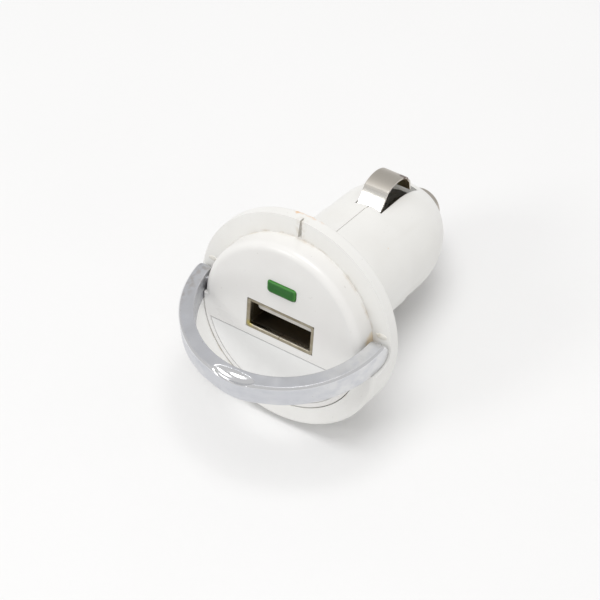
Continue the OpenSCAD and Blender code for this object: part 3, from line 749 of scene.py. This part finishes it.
past = math.acos((HINGE_Z - RING_DEEP) / RING_MID)
level = math.acos(HINGE_Z / RING_MID)
scoop_from, scoop_to = SCOOP_AT - SCOOP_LONG * 1.6, SCOOP_AT + SCOOP_LONG * 1.6
angles = [-past + (past - level) * (1 - math.cos(math.pi / 2 * i / 10)) for i in range(10)]
angles[0] += END_SHORT
angles += [-level + (scoop_from + level) * i / 110 for i in range(110)]
angles += [scoop_from + (scoop_to - scoop_from) * i / 150 for i in range(150)]
angles += [scoop_to + (level - scoop_to) * i / 100 for i in range(101)]
angles += [-a for a in reversed(angles[:10])]
sections = [ring_section(a) for a in angles]
bm = bmesh.new()
skin(bm, [[opened(*point) for point, _ in section] for section in sections])
ring = make_piece("pull_ring_plated", bm, [ring_mat], "ring", "pull_ring", smooth=30)
polish = ring.data.attributes.new("polish", "FLOAT", "POINT")
polish.data.foreach_set("value", [shine for section in sections for _, shine in section])

# %% [markdown]
# ## The side contacts: their line
# Each contact is one strip of spring metal: a flat tail under the barrel's wall, a ramp up out
# of the slot, a round arch that presses on the car's socket, and an end turned down into the
# slot. It could be extruded from a drawn outline. Walking its centre line from end to end, as a
# bender makes it, keeps the sheet equally thick in every bend. The arch's centre follows from
# where the ramp leaves the barrel, so a change of one size moves the rest.

# %% The strip's centre line
BARREL_R = 10.5
STRIP_ROOT, STRIP_RISE, STRIP_T = 19.4, 3.25, 0.4
TAIL_FROM, TAIL_STEP, TAIL_Z = 13.5, 1.7, 7.95
RAMP, ARCH_HALF, ARCH_R = math.radians(56), math.radians(31), 6.1
ARCH_Z = BARREL_R + STRIP_RISE - ARCH_R
ramp_top_z = ARCH_Z + ARCH_R * math.cos(ARCH_HALF)
ARCH_Y = STRIP_ROOT + (ramp_top_z - BARREL_R) / math.tan(RAMP) + ARCH_R * math.sin(ARCH_HALF)
KNEE_Y, KNEE_Z = 28.5, 11.5
TURNED_END = ((-0.31, 0.11), (-0.15, -0.15), (-0.05, -0.5), (0.13, -1.2), (0.31, -1.9))


def strip_path():
    """The strip's centre line as (y, z), with the outward side on the left."""
    path = [(TAIL_FROM + TAIL_STEP * i, TAIL_Z) for i in range(3)]
    mid = ARCH_R - STRIP_T / 2
    a0, a1 = math.pi / 2 + ARCH_HALF, math.pi / 2 - ARCH_HALF
    top_y, top_z = ARCH_Y + mid * math.cos(a0), ARCH_Z + mid * math.sin(a0)
    foot_y = top_y - (top_z - TAIL_Z) / math.tan(RAMP)
    for t in (0.0, 0.35, 0.7):
        path.append((foot_y - 0.35 + 0.35 * t + 0.18 * t * t, TAIL_Z + 0.24 * t * t))
    for t in (0.12, 0.4, 0.7):
        path.append((foot_y + (top_y - foot_y) * t, TAIL_Z + (top_z - TAIL_Z) * t))
    for i in range(25):
        a = a0 + (a1 - a0) * i / 24
        path.append((ARCH_Y + mid * math.cos(a), ARCH_Z + mid * math.sin(a)))
    last_y, last_z = path[-1]
    for t in (0.35, 0.7):
        path.append((last_y + (KNEE_Y - 0.28 - last_y) * t, last_z + (KNEE_Z - last_z) * t))
    return path + [(KNEE_Y + dy, KNEE_Z + dz) for dy, dz in TURNED_END]


print(f"strip arch centred at y {ARCH_Y:.2f}, z {ARCH_Z:.2f}")

# %% [markdown]
# ## The side contacts: their sheet
# The line is given thickness to both sides and width across. A Solidify modifier could give
# the thickness too. Made here, the inner faces are at hand, so that they can take the brassy
# material at once. The lower contact is the upper one with its heights turned over.

# %% Build the side contacts
STRIP_W = 4.7


def thicken(path, thickness):
    """The path's two sides, this far apart."""
    left, right = [], []
    for i, (y, z) in enumerate(path):
        a, b = path[max(0, i - 1)], path[min(len(path) - 1, i + 1)]
        ahead = Vector((b[0] - a[0], b[1] - a[1])).normalized() * thickness / 2
        left.append((y - ahead.y, z + ahead.x))
        right.append((y + ahead.y, z - ahead.x))
    return left, right


def side_contact(name, body, node, up):
    """A whole strip; up is 1 on the plug's upper side and -1 on its lower side."""
    half = STRIP_W / 2
    across = (-half, -half * 0.5, 0, half * 0.5, half)
    rows = []
    for (y0, z0), (y1, z1) in zip(*thicken(strip_path(), STRIP_T)):
        outside = [(x, y0, up * z0) for x in across]
        inside = [(x, y1, up * z1) for x in reversed(across)]
        rows.append(outside + inside)
    bm = bmesh.new()
    for faces in skin(bm, rows):
        for inner_face in faces[len(across):2 * len(across) - 1]:
            inner_face.material_index = 1
    make_piece(name, bm, [strip_mat, underside_mat], body, node, smooth=40, bevel=0.07)


side_contact("top_contact_strip", "top_strip", "top_contact", 1)
side_contact("bottom_contact_strip", "bottom_strip", "bottom_contact", -1)

# %% [markdown]
# ## The USB socket's shell
# A USB shell is folded from one sheet and meets itself in a seam along the middle of its lower
# wall. Its mouth is rolled inwards, and that lip is what the eye sees first. A box with a bevel
# can't curl over like that. So the shell is a skin whose rows follow the lip's profile, from
# the back along the outside, round the lip and back along the inside. The loop of each row is
# left open by a hair, which makes the seam.

# %% Build the shell
USB_W, USB_H, USB_Z = 12.5, 5.12, 0.1
SHEET, SHELL_LONG, SEAM_HALF = 0.3, 13.4, 0.04
LIP_PROFILE = (
    (SHELL_LONG, 0.0), (1.2, 0.0), (0.5, 0.01), (0.12, 0.08), (0.0, 0.06), (-0.02, -0.1),
    (-0.01, -0.34), (0.05, -0.48), (0.16, -0.55), (0.32, -0.56), (0.6, -0.47), (1.1, -SHEET),
    (3.5, -SHEET), (SHELL_LONG, -SHEET))


def shell_loop(w, h, r, steps=6):
    """Points round a rectangle with round corners, from the seam at the bottom's middle."""
    loop = [(SEAM_HALF, -h / 2)]
    for side, top, start in ((1, -1, -90), (1, 1, 0), (-1, 1, 90), (-1, -1, 180)):
        for i in range(steps + 1):
            a = math.radians(start + 90 * i / steps)
            loop.append((side * (w / 2 - r) + r * math.cos(a), top * (h / 2 - r) + r * math.sin(a)))
    return loop + [(-SEAM_HALF, -h / 2)]


rows = []
for deep, out in LIP_PROFILE:
    loop = shell_loop(USB_W + 2 * (SHEET + out), USB_H + 2 * (SHEET + out), max(0.18, 0.5 + out))
    rows.append([(x, FACE_Y + deep, USB_Z + z) for x, z in loop])
bm = bmesh.new()
skin(bm, rows, closed=False, cap=False)
bmesh.ops.remove_doubles(bm, verts=bm.verts, dist=0.001)
make_piece("socket_shell", bm, [shell_mat], "plug", "usb_shell", smooth=50)

# %% [markdown]
# ## The socket's tongue
# The contacts sit on a plastic tongue that stands out from a block at the socket's back. The
# block could be left out, but then one could look through the socket into the plug. A cube does
# for it. The tongue is a skin, because its nose has a small bevel that is deeper below than
# above, and that nose shows as a pale bar in the socket's mouth.

# %% Build the tongue
BLOCK_FROM, BLOCK_TO, BLOCK_GAP = 9.0, 13.4, 0.02
TONGUE_HALF, TONGUE_T, TONGUE_DROP, TONGUE_CORNER = 5.65, 1.84, 0.7, 0.28
TONGUE_ROWS = ((9.1, 0.0, 0.0), (2.5, 0.0, 0.0), (1.95, 0.03, 0.04), (1.8, 0.15, 0.14))

bm = bmesh.new()
middle = Matrix.Translation((0, FACE_Y + (BLOCK_FROM + BLOCK_TO) / 2, USB_Z))
size = Matrix.Diagonal((USB_W - 2 * BLOCK_GAP, BLOCK_TO - BLOCK_FROM, USB_H - 2 * BLOCK_GAP, 1))
bmesh.ops.create_cube(bm, size=1, matrix=middle @ size)
top = USB_Z + USB_H / 2 - TONGUE_DROP
rows = []
for deep, inset, shave in TONGUE_ROWS:
    x, t, b = TONGUE_HALF - inset, top - shave * 0.5, top - TONGUE_T + shave
    y, c = FACE_Y + deep, TONGUE_CORNER
    rows.append([(-x + c, y, t), (0, y, t), (x - c, y, t), (x, y, t - c), (x, y, b + c),
                 (x - c, y, b), (0, y, b), (-x + c, y, b), (-x, y, b + c), (-x, y, t - c)])
skin(bm, rows)
make_piece("socket_tongue", bm, [tongue_mat], "plug", "usb_tongue",
           smooth=40, bevel=0.06)

# %% [markdown]
# ## The light window
# The window is pushed in from inside the face and held by a flange, so only its front shows. It
# stands a little proud, with softened edges, and its lower corners are rounder than its upper
# ones. A bevel modifier would round all corners alike. Rows of outlines that shrink towards the
# front give the flange, the wall and the soft edge, and each corner has its own share of round.

# %% Build the light window
WINDOW_W, WINDOW_H, WINDOW_Z = 5.5, 2.2, 7.4
WINDOW_ROWS = ((2.0, 0.6), (1.85, 0.6), (1.85, 0.0), (-0.12, 0.0), (-0.28, -0.06), (-0.38, -0.2),
               (-0.40, -0.42), (-0.37, -0.75))
WINDOW_CORNERS = ((1, -1, -90, 1.1), (1, 1, 0, 0.45), (-1, 1, 90, 0.45), (-1, -1, 180, 1.3))


def window_outline(w, h, r):
    """Points round the window, from its lower right corner on by way of its upper right one."""
    outline = []
    for side, top, start, share in WINDOW_CORNERS:
        corner = min(r * share, h * 0.45)
        for i in range(7):
            a = math.radians(start + 15 * i)
            outline.append((side * (w / 2 - corner) + corner * math.cos(a),
                            top * (h / 2 - corner) + corner * math.sin(a)))
    return outline


rows = []
for deep, grow in WINDOW_ROWS:
    outline = window_outline(WINDOW_W + 2 * grow, WINDOW_H + 2 * grow, max(0.12, 0.55 + grow * 0.5))
    rows.append([(x, FACE_Y + deep, WINDOW_Z + z) for x, z in outline])
bm = bmesh.new()
skin(bm, rows)
make_piece("light_window", bm, [window_mat], "plug", "light_lens", smooth=30)

# %% [markdown]
# ## The tip contact
# The tip is a turned pin with a domed end, a collar that keeps it in the nose, and a thin stem
# inside the spring. It could be three cylinders and a sphere. A lathe part is a profile turned
# about its axis, so the rows here are circles of changing radius, and the dome is an arc worked
# out from its radius. That leaves no seam between the parts.

# %% Build the tip contact
TIP_R, TIP_END, TIP_DOME = 3.6, 40.0, 5.0
ROUND_STEPS = 72
profile = [(1.5, 31.1), (1.6, 31.2), (1.6, 32.5), (4.1, 32.5), (4.2, 32.6), (4.2, 33.6),
           (4.1, 33.7), (TIP_R, 33.7)]
for i in range(14):
    a = math.asin(TIP_R / TIP_DOME) * (1 - i / 14)
    profile.append((TIP_DOME * math.sin(a), TIP_END - TIP_DOME + TIP_DOME * math.cos(a)))
around = [2 * math.pi * k / ROUND_STEPS for k in range(ROUND_STEPS)]
bm = bmesh.new()
skin(bm, [[(r * math.sin(a), y, r * math.cos(a)) for a in around] for r, y in profile])
make_piece("tip_contact_turned", bm, [tip_mat], "tip", "tip_contact", smooth=32,
           bevel=0.06)

# %% [markdown]
# ## The tip's spring
# A coil spring pushes the tip out. It is a round wire on a helix, with flat turns at both ends,
# where it stands on the plate and carries the tip's collar. A curve with a bevel would make the
# wire too. It is a mesh here, because it has to change shape: a rigid spring would keep its
# full length when the tip goes in and poke through the collar.

# %% Build the spring
SPRING_R, WIRE_R, TURNS = 2.4, 0.25, 7
SPRING_FROM, SPRING_TO, SPRING_GAP = 22.2, 32.48, 0.02
FLAT_SHARE, FLAT_CLIMB = 0.09, 0.045
start_y = SPRING_FROM + WIRE_R + SPRING_GAP
climb = SPRING_TO - SPRING_FROM - 2 * (WIRE_R + SPRING_GAP)
steps = 36 * TURNS
rows = []
for i in range(steps + 1):
    turn = 2 * math.pi * TURNS * i / steps
    share = min(1.0, max(0.0, (i / steps - FLAT_SHARE) / (1 - 2 * FLAT_SHARE)))
    y = start_y + climb * (FLAT_CLIMB * i / steps + (1 - FLAT_CLIMB) * share)
    row = []
    for k in range(10):
        b = 2 * math.pi * k / 10
        r = SPRING_R + WIRE_R * math.cos(b)
        row.append((r * math.cos(turn), y + WIRE_R * math.sin(b), r * math.sin(turn)))
    rows.append(row)
bm = bmesh.new()
skin(bm, rows)
spring = make_piece("tip_spring_wire", bm, [spring_mat], "plug", "tip_spring", smooth=60)
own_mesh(spring)

# %% [markdown]
# ## Smears of glue
# A little clear glue lies by each pivot, as a flat, uneven drop where the recess meets the
# ring's ends. It could be sculpted. A fine sphere pushed about by noise and pressed flat on the
# recess is quicker, and a different seed gives each side its own drop from the same few lines.

# %% Build the glue smears
RECESS_Y = -2.5


def smear(name, x, z, wide, tall, seed):
    bm = bmesh.new()
    bmesh.ops.create_icosphere(bm, subdivisions=4, radius=1.0)
    for vert in bm.verts:
        lump = 1 + 0.28 * noise.noise(vert.co * 1.7 + Vector((seed, seed, 0)))
        vert.co = Vector((x + vert.co.x * wide * lump, RECESS_Y + 0.02 + vert.co.y * 0.10 * lump,
                          z + vert.co.z * tall * lump))
    make_piece(name, bm, [glue_mat], "plug", smooth=180)


smear("glue_smear_left", -16.8, 3.9, 0.9, 0.5, 3.1)
smear("glue_smear_right", 16.8, 3.6, 1.1, 0.55, 7.7)

# %% [markdown]
# ## The camera
# The photograph looks down on the plug from its front right, through a long lens. The camera
# could be aimed at a point, but the photograph's camera leans a little to one side, so it has
# three angles. The first lifts its view from straight down, the second leans it, and the third
# turns it round to the plug.

# %% Set up the camera
CAMERA_PLACE = (0.137834, -0.180651, 0.240973)
CAMERA_TURN = (43.44443, 3.06685, 34.19949)
camera = bpy.data.objects.new("camera", bpy.data.cameras.new("camera"))
bpy.context.scene.collection.objects.link(camera)
camera.location = CAMERA_PLACE
camera.rotation_euler = [math.radians(angle) for angle in CAMERA_TURN]
camera.data.lens, camera.data.sensor_width = 119.2427, 36
camera.data.clip_start = 0.01
bpy.context.scene.camera = camera
print(f"camera {Vector(CAMERA_PLACE).length * 1000:.0f} mm from the plug")

# %% [markdown]
# ## The floor
# The plug lies on plain white paper. The floor could curve up behind the plug, as in a studio,
# but the camera looks down, so one flat sheet at the height of the plug's lowest point fills
# the picture. A very faint cloud and grain keep it from looking like empty background.

# %% Lay the floor
floor_z = cad_box[0][2]
bm = bmesh.new()
bmesh.ops.create_grid(bm, x_segments=24, y_segments=24, size=3)
for vert in bm.verts:
    vert.co.z = floor_z
mesh = bpy.data.meshes.new("floor")
bm.to_mesh(mesh)
bm.free()
floor = bpy.data.objects.new("floor", mesh)
bpy.context.scene.collection.objects.link(floor)
paper = Paint("floor_paper", (0.86, 0.86, 0.86), 0.75, IOR=1.4)
paper.tint((0.84, 0.84, 0.84), paper.noise(0.02, 2).above(0.4, 0.7) * 0.5)
mesh.materials.append(paper.relief(paper.noise(1.5, 3), 0.01).done())
print(f"floor at {floor_z * 1000:.2f} mm")

# %% [markdown]
# ## The light
# The photograph was taken in soft light, much like a light tent: bright from all round, with no
# hard shadow. A ring of many lamps could imitate that. An even, bright world does most of it
# by itself, and two round lamps add direction: a large one above the plug, and a small one at
# the front left, which brightens the face.


# %% Set up the light
def soft_lamp(name, place, size, power):
    """A round lamp that looks at the plug's middle."""
    light = bpy.data.lights.new(name, "AREA")
    light.shape, light.size, light.energy = "DISK", size, power
    lamp = bpy.data.objects.new(name, light)
    bpy.context.scene.collection.objects.link(lamp)
    lamp.location = place
    lamp.rotation_euler = (Vector((0, 0.01, 0)) - Vector(place)).to_track_quat("-Z", "Y").to_euler()


soft_lamp("overhead", (0.03, -0.05, 0.85), 0.55, 3.4)
soft_lamp("front_left", (-0.40, -0.68, 0.53), 0.34, 1.3)
world = bpy.data.worlds.new("bright_room")
bpy.context.scene.world = world
world.use_nodes = True
background = world.node_tree.nodes["Background"]
background.inputs["Color"].default_value = (1.0, 0.992, 0.985, 1)
background.inputs["Strength"].default_value = 0.64
bpy.context.scene.view_settings.view_transform = "Standard"
bpy.context.scene.view_settings.look = "None"
print("two soft lamps and a bright room")

# %% Finish
bpy.context.view_layer.update()
